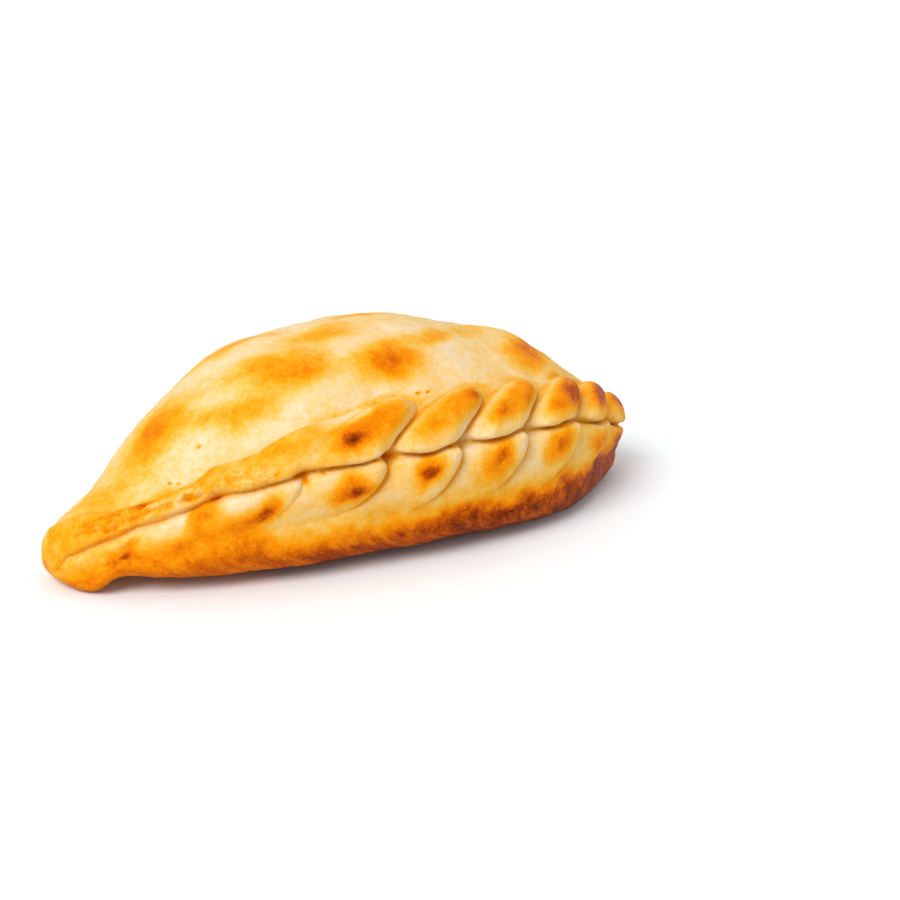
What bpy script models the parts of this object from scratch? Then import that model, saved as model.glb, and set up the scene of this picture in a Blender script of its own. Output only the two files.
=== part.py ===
"""A baked empanada, lying on its flat underside with its crimped seam in front.

Metres, +Z up. The origin is on the table, under the middle of the empanada's bounding box. +X runs along the
empanada, and the crimped seam faces -Y. The crust is one closed skin, lofted through its cross sections, with
the folds of the crimp, the cleft between them and the larger blisters raised on it.
"""

import bmesh
import bpy
import numpy as np

MM = 0.001

# Sizes in millimetres. A 140 mm round of dough, folded in half, bakes to this length.
LENGTH = 135.0
HALF_LENGTH = LENGTH / 2

# Cross sections from the drooping tip at -X to the tip at +X: place along the length, height of
# the top, height of the underside, front edge, back edge, and height of the seam in the front wall.
SECTIONS = np.array(
    [
        (-67.5, 8.4, 6.4, -0.5, 0.5, 7.4),
        (-66.0, 10.9, 2.8, -5.2, 4.4, 8.0),
        (-62.0, 13.8, 0.5, -10.6, 7.6, 11.0),
        (-57.0, 16.6, 3.9, -14.6, 9.4, 13.8),
        (-50.0, 21.4, 2.8, -19.2, 13.2, 16.6),
        (-35.0, 33.2, 1.1, -25.6, 22.0, 21.2),
        (-15.0, 41.8, 0.0, -30.6, 29.4, 24.2),
        (8.0, 42.6, 0.0, -32.4, 31.4, 24.4),
        (30.0, 37.6, 0.0, -29.8, 28.2, 22.9),
        (40.0, 34.2, 0.0, -26.6, 24.8, 21.2),
        (47.0, 30.4, 0.0, -23.0, 20.8, 19.0),
        (52.0, 26.0, 0.2, -19.8, 17.6, 17.4),
        (58.0, 22.4, 0.4, -15.4, 13.4, 15.0),
        (65.5, 16.0, 2.2, -8.0, 6.0, 10.8),
        (67.5, 9.8, 6.4, -0.8, 0.8, 8.1),
    ]
)
WAIST_SHARE = 0.36  # the widest level, as a share of the section's height
DOME_POWER = 2.1  # superellipse power above the waist, nearly round
BELLY_POWER = 3.2  # below it, squarer, where the dough slumped on the tray
PRESSED_FLAT = 0.7  # depth pressed flat against the tray
SEAM_HIGHEST = 0.95  # the seam stays under this share of the way from the waist to the top

# The crimp is a row of folds laid over one another along the seam, like a twisted rope. Distances
# run along the seam from the tip at -X, and up or down the wall from the seam.
FOLD_CREASES = (21.0, 37.7, 54.2, 71.5, 88.0, 105.0, 121.5, 137.5, 151.5)
UPPER_REACH = np.array(
    [(0, 9.0), (9, 8.4), (20, 5.2), (28, 4.2), (34, 4.5), (39, 6.2), (46, 6.3), (51, 7.6), (57, 8.9)]
    + [(64, 9.4), (74, 11.2), (92, 10.8), (108, 10.2), (125, 9.6), (148, 7.6), (164, 3.0)]
)
LOWER_REACH = np.array(
    [(0, 3.0), (14, 5.0), (30, 7.5), (50, 9.4), (66, 11.2), (82, 13.0), (105, 13.0), (125, 11.0), (164, 3.0)]
)
UPPER_RELIEF = np.array(
    [(0, 0.8), (12, 1.4), (32, 1.9), (46, 2.4), (60, 3.2), (76, 4.0), (130, 4.0), (150, 3.4), (164, 0.3)]
)
LOWER_RELIEF = np.array(
    [(0, 0.3), (12, 1.3), (30, 2.1), (50, 3.3), (80, 4.1), (130, 4.0), (150, 2.6), (164, 0.3)]
)
UPPER_LEAN = (0.50, 0.12)  # a fold leans towards +X by this much a mm above the seam, and a mm squared
LOWER_LEAN = (1.9, 12.0, 3.0)  # below it a crease steps back, then bends back by so much and with this power
LEAN_STEP = 0.6  # share of the lower folds' depth over which a crease steps back
EDGE_RADIUS = 1.4  # radius of the folds' edges, over and under the cleft
EDGE_HEIGHT = 0.35  # height left right at those edges, as a share of the fold's
SEAM_DROP = 4.5  # how far the seam bends down round the drooping tip
SEAM_DROP_ENDS = (1.5, 6.5)  # over these distances from that tip

# An upper fold, in shares of its width: it rises from its left edge and sinks to its right one. Its width is a
# share of its stretch of seam and narrows towards its top. Towards the drooping tip a floor joins the folds.
UPPER_RISE = 0.3
UPPER_SINK = 0.44
UPPER_WIDTH = 1.08
UPPER_NARROWEST = 0.5
UPPER_TAPER = (4.0, 0.85)
UPPER_TOP_POWER = 2.5
FLOOR_JOINED = 0.94
FLOOR_PARTED = 0.06
FLOOR_PARTS = (52.0, 76.0)

# A lower fold, a leaf: it rises from its left edge, climbs to the right and drops over its right edge. The
# leaves start between two distances along the seam, and before them the wall has a roll of plain height.
LEAF_FLOOR = 0.1
LEAF_RISE = 0.3
LEAF_CLIMB = (0.1, 0.85)
LEAF_DROP = 0.2
LEAF_PLAIN = 0.7
LEAVES_START = (44.0, 68.0)

# The cleft between the upper and lower folds, and the distances from each tip over which it fades.
CLEFT_DEPTH = 1.3
CLEFT_WIDTH = 1.0
CLEFT_BELOW_SEAM = 0.4
CLEFT_FADES = ((1.0, 12.0), (4.0, 16.0))

# The relief fades over these distances from each tip, and over this height from the tray.
TIP_FADES = ((0.5, 7.0), (0.0, 10.0))
TRAY_FADE = 3.0

# Blisters and hollows of the dome: along the seam, up from it, radius along, radius up, height.
SWELLINGS = (
    (119.0, 26.0, 6.5, 8.0, 1.1),
    (136.0, 22.0, 6.0, 7.0, 0.9),
    (63.0, 24.0, 11.0, 8.0, 0.8),
    (82.4, 21.8, 8.0, 6.0, 0.8),
    (77.0, 37.0, 8.0, 6.0, 0.7),
    (35.0, 27.0, 8.0, 9.0, 0.8),
    (50.0, 15.0, 6.0, 4.0, 0.4),
    (95.0, 17.0, 10.0, 4.0, -0.5),
    (95.0, 60.0, 12.0, 10.0, 0.9),
    (55.0, 62.0, 12.0, 10.0, 0.9),
    (124.0, 52.0, 8.0, 9.0, 0.7),
    (112.0, -18.0, 24.0, 7.0, 2.2),
)

# The loft's grid: stations to a fold, and columns below and above the seam, crowded where the folds are. It
# slides along the creases, and does so less and less over the dome, the underside and the tips.
STATIONS_IN_FOLD = 12
STATION_CROWDING = 0.06
TIP_CROWDING = 1.7
COLUMNS_BELOW = 15
COLUMNS_ABOVE = 30
BELOW_CROWDING = 0.75
ABOVE_CROWDING = 0.78
SLIDE_FADES = (45.0, 16.0, 24.0)

CRUST_COLOUR = (0.86, 0.56, 0.22, 1.0)
CRUST_ROUGHNESS = 0.5


def smooth_through(points, at):
    """Monotone cubic through a few points, so that a size changes gently and never overshoots."""
    x, y = np.array(points, float).T
    slope = np.diff(y) / np.diff(x)
    same_way = slope[:-1] * slope[1:] > 0
    total = np.where(same_way, slope[:-1] + slope[1:], 1)
    inner = np.where(same_way, 2 * slope[:-1] * slope[1:] / total, 0)
    tangent = np.concatenate([slope[:1], inner, slope[-1:]])
    at = np.clip(at, x[0], x[-1])
    i = np.clip(np.searchsorted(x, at, side="right") - 1, 0, len(x) - 2)
    width = x[i + 1] - x[i]
    u = (at - x[i]) / width
    return (
        (1 + 2 * u) * (1 - u) ** 2 * y[i]
        + u * (1 - u) ** 2 * width * tangent[i]
        + u * u * (3 - 2 * u) * y[i + 1]
        + u * u * (u - 1) * width * tangent[i + 1]
    )


def skin_points(x, share):
    """Points of the bare skin at place x along the length.

    share runs round the section: -1 in the middle of the underside, 0 at the seam, and over the top to +1.
    """
    top, under, front, back, seam = (smooth_through(SECTIONS[:, [0, k]], x) for k in range(1, 6))
    waist = under + WAIST_SHARE * (top - under)
    reach = np.where(seam > waist, top - waist, waist - under)
    seam_angle = np.pi - np.arcsin(np.clip((seam - waist) / reach, -SEAM_HIGHEST, SEAM_HIGHEST))
    underside = np.where(share < 0, 1.5 * np.pi, -0.5 * np.pi)
    angle = seam_angle + (underside - seam_angle) * np.abs(share)
    across, up = np.cos(angle), np.sin(angle)
    power = np.where(up > 0, DOME_POWER, BELLY_POWER)
    radius = (np.abs(across) ** power + np.abs(up) ** power) ** (-1 / power)
    y = (front + back) / 2 + (back - front) / 2 * radius * across
    z = waist + np.where(up > 0, top - waist, waist - under) * radius * up
    return np.stack([x + 0 * y, y, np.maximum(z - PRESSED_FLAT, 0)], axis=-1)


def seam_line(count=1600):
    """Places along X and the distance along the seam at each."""
    turn = np.linspace(0, np.pi, count)
    x = -HALF_LENGTH * np.cos(turn)
    steps = np.linalg.norm(np.diff(skin_points(x, np.zeros(count)), axis=0), axis=1)
    return x, np.concatenate([[0], np.cumsum(steps)])


def fold_creases(seam_length):
    """The creases' distances along the seam, with both tips of the empanada."""
    return np.array([0.0, *FOLD_CREASES, seam_length])


def station_distances(creases):
    """Stations along the seam: as many in each fold, closer at its creases, and closer at the tips."""
    share = np.arange(STATIONS_IN_FOLD) / STATIONS_IN_FOLD
    inner = share - STATION_CROWDING * np.sin(2 * np.pi * share)
    ends = np.linspace(0, 1, STATIONS_IN_FOLD + 3) ** TIP_CROWDING
    first = creases[1] * ends[:-1]
    last = creases[-1] - (creases[-1] - creases[-2]) * ends[::-1]
    folds = [left + (right - left) * inner for left, right in zip(creases[1:-2], creases[2:-1])]
    return np.concatenate([first, *folds, last])


def column_shares():
    """Shares round the section, crowded at the seam, where the folds are."""
    below = np.linspace(1, 0, COLUMNS_BELOW + 1)[:-1]
    above = np.linspace(0, 1, COLUMNS_ABOVE + 1)[:-1]
    below = (1 - BELOW_CROWDING) * below + BELOW_CROWDING * below**2
    above = (1 - ABOVE_CROWDING) * above + ABOVE_CROWDING * above**3
    return np.concatenate([-below, above])


def wall_distances(points):
    """Distance of each point up (+) or down (-) the wall from the seam."""
    steps = np.linalg.norm(np.diff(points, axis=1), axis=2)
    girth = np.concatenate([np.zeros((len(points), 1)), np.cumsum(steps, axis=1)], axis=1)
    return girth - girth[:, COLUMNS_BELOW : COLUMNS_BELOW + 1]


def eased(value, low, high):
    """0 below low, 1 above high, and an ease between them."""
    u = np.clip((value - low) / (high - low), 0, 1)
    return u * u * (3 - 2 * u)


def rounded(share):
    """A quarter of a circle: steep at 0, and level at 1 and beyond."""
    return np.sqrt(1 - (1 - np.clip(share, 0, 1)) ** 2)


def fold_lean(along, up):
    """How far a crease has moved along the seam at a distance above or below it."""
    above = np.maximum(up, 0)
    depth = np.maximum(-up, 0) / smooth_through(LOWER_REACH, along)
    back = LOWER_LEAN[0] * eased(depth, 0, LEAN_STEP) + LOWER_LEAN[1] * depth ** LOWER_LEAN[2]
    return UPPER_LEAN[0] * above + UPPER_LEAN[1] * above**2 - back


def grid_shift(along, up, seam_length):
    """Moves the grid's points along the empanada so that its lines follow the creases of the folds."""
    above, below = smooth_through(UPPER_REACH, along), smooth_through(LOWER_REACH, along)
    over_dome, over_underside, at_tips = SLIDE_FADES
    past = np.maximum(up - above, 0) / over_dome + np.maximum(-up - below, 0) / over_underside
    fade = 0.5 + 0.5 * np.cos(np.pi * np.clip(past, 0, 1))
    tips = np.clip(np.minimum(along, seam_length - along) / at_tips, 0, 1)
    return fold_lean(along, np.clip(up, -below, above)) * fade * tips


def place_in_fold(along, up, creases):
    """Share of the way across its fold that each point lies, from 0 at the crease on its left to 1."""
    straight = along - fold_lean(along, up)
    fold = np.clip(np.searchsorted(creases, straight, side="right") - 1, 0, len(creases) - 2)
    return np.clip((straight - creases[fold]) / (creases[fold + 1] - creases[fold]), 0, 1)


def crimp_relief(along, up, creases):
    """Height of the folds over the bare skin: slanted pillows above the cleft, overlapping leaves below."""
    above, below = np.maximum(up, 0), np.maximum(-up, 0)
    share = place_in_fold(along, up, creases)
    height = np.clip(above / smooth_through(UPPER_REACH, along), 0, 1)
    edge = EDGE_HEIGHT + (1 - EDGE_HEIGHT) * rounded(np.abs(up) / EDGE_RADIUS)
    width = UPPER_WIDTH * (1 - height ** UPPER_TAPER[0]) ** UPPER_TAPER[1]
    across = share / np.maximum(width, UPPER_NARROWEST)
    pillow = 1 - (1 - np.clip(across / UPPER_RISE, 0, 1)) ** 2
    pillow *= 0.5 + 0.5 * np.cos(np.pi * np.clip((across - 1) / UPPER_SINK + 1, 0, 1))
    floor = FLOOR_JOINED - (FLOOR_JOINED - FLOOR_PARTED) * eased(along, *FLOOR_PARTS)
    upper = (floor + (1 - floor) * pillow) * (1 - height**UPPER_TOP_POWER) * edge
    leaf = 0.5 - 0.5 * (1 - np.clip(share / LEAF_RISE, 0, 1)) ** 2 + 0.5 * eased(share, *LEAF_CLIMB)
    leaf *= rounded((1 - share) / LEAF_DROP)
    leaf = LEAF_PLAIN + (leaf - LEAF_PLAIN) * eased(along, *LEAVES_START)
    depth = np.clip(below / smooth_through(LOWER_REACH, along), 0, 1)
    lower = (LEAF_FLOOR + (1 - LEAF_FLOOR) * leaf) * (1 - depth**2) * edge
    upper *= smooth_through(UPPER_RELIEF, along)
    lower *= smooth_through(LOWER_RELIEF, along)
    return np.where(up > 0, upper, lower)


def faded_at_tips(along, seam_length, distances):
    """1 along the seam, easing to 0 over the distances given for the tip at -X and for the tip at +X."""
    first, last = distances
    return eased(along, *first) * eased(seam_length - along, *last)


def cleft_relief(along, up, seam_length):
    """The dark line between the upper and lower folds: a narrow groove that fades at both tips."""
    groove = np.exp(-(((up + CLEFT_BELOW_SEAM) / CLEFT_WIDTH) ** 2))
    return -CLEFT_DEPTH * groove * faded_at_tips(along, seam_length, CLEFT_FADES)


def swelling_relief(along, up):
    """Broad blisters and hollows of the dome."""
    relief = np.zeros_like(up)
    for centre_along, centre_up, radius_along, radius_up, height in SWELLINGS:
        squared = ((along - centre_along) / radius_along) ** 2 + ((up - centre_up) / radius_up) ** 2
        relief += height * np.exp(-squared)
    return relief


def outward(points):
    """Unit normals of the skin's grid, which closes on itself across the columns."""
    along = np.gradient(points, axis=0)
    around = np.roll(points, -1, axis=1) - np.roll(points, 1, axis=1)
    normal = np.cross(along, around)
    size = np.linalg.norm(normal, axis=2, keepdims=True)
    return normal / np.maximum(size, 1e-9)


def crust_points():
    """The grid of the crust in millimetres, folds and all, centred over the origin."""
    seam_x, seam_distance = seam_line()
    seam_length = seam_distance[-1]
    creases = fold_creases(seam_length)
    along = station_distances(creases)
    x = np.interp(along, seam_distance, seam_x)
    share = column_shares()
    up = wall_distances(skin_points(x[:, None], share[None, :]))
    along = along[:, None] + grid_shift(along[:, None], up, seam_length)
    skin = skin_points(np.interp(along, seam_distance, seam_x), share[None, :])
    for column in range(len(share)):
        up[:, column] = np.interp(skin[:, column, 0], x, up[:, column])
    up += SEAM_DROP * (1 - eased(along, *SEAM_DROP_ENDS))
    relief = crimp_relief(along, up, creases) + cleft_relief(along, up, seam_length)
    relief += swelling_relief(along, up)
    relief *= faded_at_tips(along, seam_length, TIP_FADES) * np.clip(skin[..., 2] / TRAY_FADE, 0, 1)
    skin = skin + outward(skin) * relief[..., None]
    skin[..., 2] = np.maximum(skin[..., 2], 0)
    skin[..., :2] -= (skin.min(axis=(0, 1)) + skin.max(axis=(0, 1)))[:2] / 2
    return skin


def closed_loft(points):
    """A bmesh of the skin's grid in metres, closed round the columns and with a point at each tip."""
    mesh = bmesh.new()
    rings = [[mesh.verts.new(point) for point in ring * MM] for ring in points]
    for ring, after in zip(rings, rings[1:]):
        for j in range(len(ring)):
            k = (j + 1) % len(ring)
            mesh.faces.new((ring[j], ring[k], after[k], after[j]))
    for ring in (rings[0], rings[-1]):
        centre = sum((vertex.co for vertex in ring), start=ring[0].co * 0) / len(ring)
        tip = mesh.verts.new(centre)
        for j in range(len(ring)):
            mesh.faces.new((ring[j], ring[(j + 1) % len(ring)], tip))
    bmesh.ops.triangulate(mesh, faces=mesh.faces[:], quad_method="SHORT_EDGE")
    bmesh.ops.recalc_face_normals(mesh, faces=mesh.faces[:])
    return mesh


def crust_material():
    """Golden baked dough."""
    material = bpy.data.materials.new("baked_crust")
    material.use_nodes = True
    shader = material.node_tree.nodes["Principled BSDF"]
    shader.inputs["Base Color"].default_value = CRUST_COLOUR
    shader.inputs["Roughness"].default_value = CRUST_ROUGHNESS
    shader.inputs["Metallic"].default_value = 0.0
    return material


def main():
    for stale in list(bpy.data.objects):
        bpy.data.objects.remove(stale)
    collection = bpy.data.collections.new("empanada")
    bpy.context.scene.collection.children.link(collection)
    loft = closed_loft(crust_points())
    data = bpy.data.meshes.new("empanada")
    loft.to_mesh(data)
    loft.free()
    data.shade_smooth()
    data.materials.append(crust_material())
    collection.objects.link(bpy.data.objects.new("empanada", data))


main()
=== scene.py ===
import bpy
import numpy as np
from mathutils import Matrix, Vector


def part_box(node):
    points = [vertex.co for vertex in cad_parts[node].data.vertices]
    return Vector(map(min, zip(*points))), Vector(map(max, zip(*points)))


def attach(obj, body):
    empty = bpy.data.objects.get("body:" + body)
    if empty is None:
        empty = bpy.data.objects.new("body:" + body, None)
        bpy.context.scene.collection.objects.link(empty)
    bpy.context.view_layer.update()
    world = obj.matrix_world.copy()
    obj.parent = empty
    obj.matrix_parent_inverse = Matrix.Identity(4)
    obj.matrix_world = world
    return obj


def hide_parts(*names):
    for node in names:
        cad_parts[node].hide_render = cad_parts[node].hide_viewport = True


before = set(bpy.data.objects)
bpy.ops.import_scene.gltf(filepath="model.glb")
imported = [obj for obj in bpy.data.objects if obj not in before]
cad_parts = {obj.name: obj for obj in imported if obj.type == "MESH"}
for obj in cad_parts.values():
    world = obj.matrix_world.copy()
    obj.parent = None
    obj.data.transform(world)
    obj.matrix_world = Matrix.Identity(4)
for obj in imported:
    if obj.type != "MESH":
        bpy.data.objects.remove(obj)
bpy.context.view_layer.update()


# The crust of a baked empanada: a round of wheat dough folded in half over its filling. It is one skin that
# puffed up in the oven, went flat where it lay on the tray, and is pinched shut along the front in a row of
# folds laid over one another like a rope.

MM = 0.001
LENGTH = 135.0
HALF_LENGTH = LENGTH / 2

# Cross sections, in millimetres: place along the length, height of the top, height of the underside, front
# edge, back edge, and height of the seam in the front wall.
SECTIONS = np.array(
    [
        (-67.5, 8.4, 6.4, -0.5, 0.5, 7.4),
        (-66.0, 10.9, 2.8, -5.2, 4.4, 8.0),
        (-62.0, 13.8, 0.5, -10.6, 7.6, 11.0),
        (-57.0, 16.6, 3.9, -14.6, 9.4, 13.8),
        (-50.0, 21.4, 2.8, -19.2, 13.2, 16.6),
        (-35.0, 33.2, 1.1, -25.6, 22.0, 21.2),
        (-15.0, 41.8, 0.0, -30.6, 29.4, 24.2),
        (8.0, 42.6, 0.0, -32.4, 31.4, 24.4),
        (30.0, 37.6, 0.0, -29.8, 28.2, 22.9),
        (40.0, 34.2, 0.0, -26.6, 24.8, 21.2),
        (47.0, 30.4, 0.0, -23.0, 20.8, 19.0),
        (52.0, 26.0, 0.2, -19.8, 17.6, 17.4),
        (58.0, 22.4, 0.4, -15.4, 13.4, 15.0),
        (65.5, 16.0, 2.2, -8.0, 6.0, 10.8),
        (67.5, 9.8, 6.4, -0.8, 0.8, 8.1),
    ]
)
WAIST_SHARE = 0.36  # the widest level, as a share of the section's height
DOME_POWER = 2.1  # superellipse power above the waist, nearly round
BELLY_POWER = 3.2  # below it, squarer, where the dough slumped on the tray
PRESSED_FLAT = 0.7  # depth pressed flat against the tray
SEAM_HIGHEST = 0.95  # the seam stays under this share of the way from the waist to the top

# The folds: creases along the seam, and at points along it how far up and down the wall the folds reach and
# how high they stand.
FOLD_CREASES = (21.0, 37.7, 54.2, 71.5, 88.0, 105.0, 121.5, 137.5, 151.5)
UPPER_REACH = np.array(
    [(0, 9.0), (9, 8.4), (20, 5.2), (28, 4.2), (34, 4.5), (39, 6.2), (46, 6.3), (51, 7.6), (57, 8.9)]
    + [(64, 9.4), (74, 11.2), (92, 10.8), (108, 10.2), (125, 9.6), (148, 7.6), (164, 3.0)]
)
LOWER_REACH = np.array(
    [(0, 3.0), (14, 5.0), (30, 7.5), (50, 9.4), (66, 11.2), (82, 13.0), (105, 13.0), (125, 11.0), (164, 3.0)]
)
UPPER_RELIEF = np.array(
    [(0, 0.8), (12, 1.4), (32, 1.9), (46, 2.4), (60, 3.2), (76, 4.0), (130, 4.0), (150, 3.4), (164, 0.3)]
)
LOWER_RELIEF = np.array(
    [(0, 0.3), (12, 1.3), (30, 2.1), (50, 3.3), (80, 4.1), (130, 4.0), (150, 2.6), (164, 0.3)]
)
UPPER_LEAN = (0.50, 0.12)  # a fold leans towards +X by this much a mm above the seam, and a mm squared
LOWER_LEAN = (1.9, 12.0, 3.0)  # below it a crease steps back, then bends back by so much and with this power
LEAN_STEP = 0.6  # share of the lower folds' depth over which a crease steps back
SLIDE_FADES = (45.0, 16.0, 24.0)  # the grid's slide along the creases fades over these, up, down and at tips

# Broad swellings of the dome: along the seam, up from it, radius along, radius up, height.
SWELLINGS = (
    (119.0, 26.0, 6.5, 8.0, 1.1),
    (136.0, 22.0, 6.0, 7.0, 0.9),
    (63.0, 24.0, 11.0, 8.0, 0.8),
    (82.4, 21.8, 8.0, 6.0, 0.8),
    (77.0, 37.0, 8.0, 6.0, 0.7),
    (35.0, 27.0, 8.0, 9.0, 0.8),
    (50.0, 15.0, 6.0, 4.0, 0.4),
    (95.0, 17.0, 10.0, 4.0, -0.5),
    (95.0, 60.0, 12.0, 10.0, 0.9),
    (55.0, 62.0, 12.0, 10.0, 0.9),
    (124.0, 52.0, 8.0, 9.0, 0.7),
    (112.0, -18.0, 24.0, 7.0, 2.2),
)

# The patches that the oven browned: along the seam, up from it, radius along, radius up, slant, how brown.
# The slant is how far a patch leans along the seam for each millimetre up.
BROWNED = (
    (35.5, 23.6, 8.0, 8.5, 0.6, 0.44),
    (35.8, 24.6, 4.8, 4.6, 0.6, 0.22),
    (29.0, 18.0, 6.0, 6.0, 0.9, 0.20),
    (49.6, 15.4, 9.0, 5.0, 0.4, 0.36),
    (43.0, 19.0, 7.0, 4.0, 0.0, 0.26),
    (61.6, 23.6, 12.5, 9.0, 0.4, 0.38),
    (61.9, 21.4, 6.0, 4.0, 0.3, 0.16),
    (61.6, 20.6, 1.8, 1.4, 0.0, 0.24),
    (55.4, 27.4, 8.0, 6.0, 0.0, 0.18),
    (72.4, 34.4, 12.0, 5.5, 0.0, 0.36),
    (82.0, 21.4, 11.0, 7.6, 0.5, 0.48),
    (81.0, 20.6, 5.0, 3.4, 0.3, 0.38),
    (95.4, 26.6, 7.0, 3.2, 0.2, 0.40),
    (119.8, 19.4, 9.0, 7.5, 0.5, 0.52),
    (108.0, 30.0, 8.0, 6.0, 0.5, 0.20),
    (59.8, 44.8, 12.0, 6.0, 0.0, 0.36),
    (90.0, 44.0, 12.0, 4.0, 0.0, 0.36),
    (20.0, 12.0, 9.0, 6.0, 0.8, 0.20),
    (82.4, 11.6, 0.6, 0.5, 0.0, 0.85),
    (84.8, 11.6, 0.6, 0.5, 0.0, 0.80),
    (38.5, 11.8, 0.6, 0.6, 0.0, 0.70),
    (31.8, 6.1, 0.5, 0.5, 0.0, 0.60),
    (32.9, 5.6, 0.5, 0.4, 0.0, 0.55),
    (65.2, 4.2, 6.0, 4.2, 0.9, 0.54),
    (65.0, 4.0, 2.8, 1.8, 0.5, 0.34),
    (72.0, 7.8, 6.0, 3.4, 1.2, 0.30),
    (86.0, 6.6, 6.5, 4.4, 1.3, 0.22),
    (92.4, 8.8, 3.6, 2.6, 0.9, 0.30),
    (98.0, 3.2, 4.4, 3.2, 0.9, 0.22),
    (98.1, 3.0, 1.8, 1.3, 0.6, 0.22),
    (102.6, 6.2, 4.4, 3.2, 1.0, 0.12),
    (120.0, 4.6, 6.4, 4.4, 1.1, 0.50),
    (122.6, 4.2, 3.0, 2.0, 0.9, 0.34),
    (136.0, 5.0, 6.0, 4.0, 1.0, 0.50),
    (149.5, 4.5, 5.0, 3.4, 0.8, 0.46),
    (52.0, 5.6, 9.0, 2.2, 0.6, 0.24),
    (25.0, 4.2, 11.0, 1.9, 0.1, 0.26),
    (9.0, 5.0, 7.0, 4.0, 0.0, 0.26),
    (17.2, -4.0, 3.4, 1.6, 0.4, 0.46),
    (17.0, -4.0, 1.5, 0.9, 0.4, 0.40),
    (34.6, -2.6, 5.0, 2.2, 0.5, 0.44),
    (44.8, -5.6, 6.2, 3.8, 0.4, 0.50),
    (46.0, -5.4, 3.2, 1.9, 0.4, 0.62),
    (62.9, -4.9, 5.4, 3.6, 0.5, 0.52),
    (63.3, -5.0, 3.3, 1.9, 0.9, 0.54),
    (78.8, -4.8, 4.8, 4.2, 0.4, 0.58),
    (79.4, -5.4, 2.4, 1.8, 0.4, 0.66),
    (95.4, -5.0, 5.8, 5.0, 0.4, 0.52),
    (96.6, -4.6, 3.0, 2.4, 0.4, 0.28),
    (112.4, -4.8, 5.4, 4.2, 0.4, 0.54),
    (129.0, -4.6, 5.2, 3.9, 0.4, 0.54),
    (143.6, -4.2, 4.6, 3.4, 0.4, 0.50),
    (39.6, -11.0, 7.0, 3.4, 0.3, 0.22),
    (35.0, -5.4, 8.0, 3.4, 0.4, 0.36),
    (52.0, 78.0, 13.0, 8.0, 0.2, 0.56),
    (76.0, 66.0, 14.0, 6.0, -0.3, 0.58),
    (100.0, 72.0, 15.0, 5.5, 0.3, 0.52),
    (116.0, 57.0, 12.0, 5.0, 0.4, 0.50),
    (94.0, 55.0, 10.0, 6.0, 0.2, 0.44),
    (38.0, 58.0, 10.0, 7.0, 0.3, 0.50),
    (133.0, 44.0, 9.0, 7.0, 0.0, 0.56),
)

# Small pits where the layers of dough gape, with painted shade in them: along the seam, up from it, radius
# along, radius up, depth.
PITS = (
    (32.9, 1.9, 1.0, 0.5, 0.6),
    (37.3, -0.2, 1.6, 0.5, 0.7),
    (49.3, 1.3, 0.5, 0.4, 0.4),
    (53.5, 0.0, 1.3, 0.6, 0.7),
    (54.6, -1.6, 0.6, 1.2, 0.4),
    (58.0, -0.8, 0.5, 0.4, 0.3),
    (72.2, 0.0, 1.5, 0.9, 0.8),
    (85.6, -0.2, 1.2, 0.7, 0.7),
)

# The grid: stations along the seam and columns round the section. The gaps between columns are given as how
# far from the seam each holds, and the gap.
STATIONS = 500
STATIONS_EVEN = 0.76  # share of even spacing, the rest being closer at both tips
COLUMNS_BELOW = 54
COLUMNS_ABOVE = 143
GAPS_BELOW = ((1.6, 0.20), (14, 0.36), (20, 1.0), (46, 4.0))
GAPS_ABOVE = ((1.8, 0.20), (13, 0.36), (80, 0.75), (98, 1.2), (130, 4.0))
FINE_STEPS = 4000  # steps for measuring along a line
GAP_BLUR = 61  # fine steps over which one gap turns into the next
TRACE = 1e-9  # a length that stands for none


def smooth_through(points, at):
    """Monotone cubic through (place, value) points. A tangent is the harmonic mean of its two slopes."""
    x, y = np.array(points, float).T
    slope = np.diff(y) / np.diff(x)
    same_way = slope[:-1] * slope[1:] > 0
    total = np.where(same_way, slope[:-1] + slope[1:], 1)
    inner = np.where(same_way, 2 * slope[:-1] * slope[1:] / total, 0)
    tangent = np.concatenate([slope[:1], inner, slope[-1:]])
    at = np.clip(at, x[0], x[-1])
    i = np.clip(np.searchsorted(x, at, side="right") - 1, 0, len(x) - 2)
    width = x[i + 1] - x[i]
    u = (at - x[i]) / width
    return (
        (1 + 2 * u) * (1 - u) ** 2 * y[i]
        + u * (1 - u) ** 2 * width * tangent[i]
        + u * u * (3 - 2 * u) * y[i + 1]
        + u * u * (u - 1) * width * tangent[i + 1]
    )


def eased(value, low, high):
    """0 below low, 1 above high, and a cubic ease between them."""
    u = np.clip((value - low) / (high - low), 0, 1)
    return u * u * (3 - 2 * u)


def within(value, rise, fall):
    """Eases from 0 to 1 over the two values of rise, and back to 0 over those of fall."""
    return eased(value, *rise) * (1 - eased(value, *fall))


def rising(value, listed):
    """Sum of amounts listed as (amount, low, high), each eased in from its low to its high."""
    return sum(amount * eased(value, low, high) for amount, low, high in listed)


def mixed(first, second, share):
    """The first where the share is 0, the second where it is 1, and in between in proportion."""
    return first + (second - first) * share


def bell(value, middle, radius):
    """A bell curve: 1 in the middle, 0.37 at the radius, and nearly 0 at twice the radius."""
    return np.exp(-(((value - middle) / radius) ** 2))


def arched(share):
    """A parabola: steep at 0, and level at 1 and beyond."""
    return 1 - (1 - np.clip(share, 0, 1)) ** 2


def rounded(share):
    """A quarter of a circle: steep at 0, and level at 1 and beyond."""
    return np.sqrt(arched(share))


def unit(vectors):
    """Each vector of a grid divided by its length, or by a trace where it has none."""
    return vectors / np.maximum(np.linalg.norm(vectors, axis=2, keepdims=True), TRACE)


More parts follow.
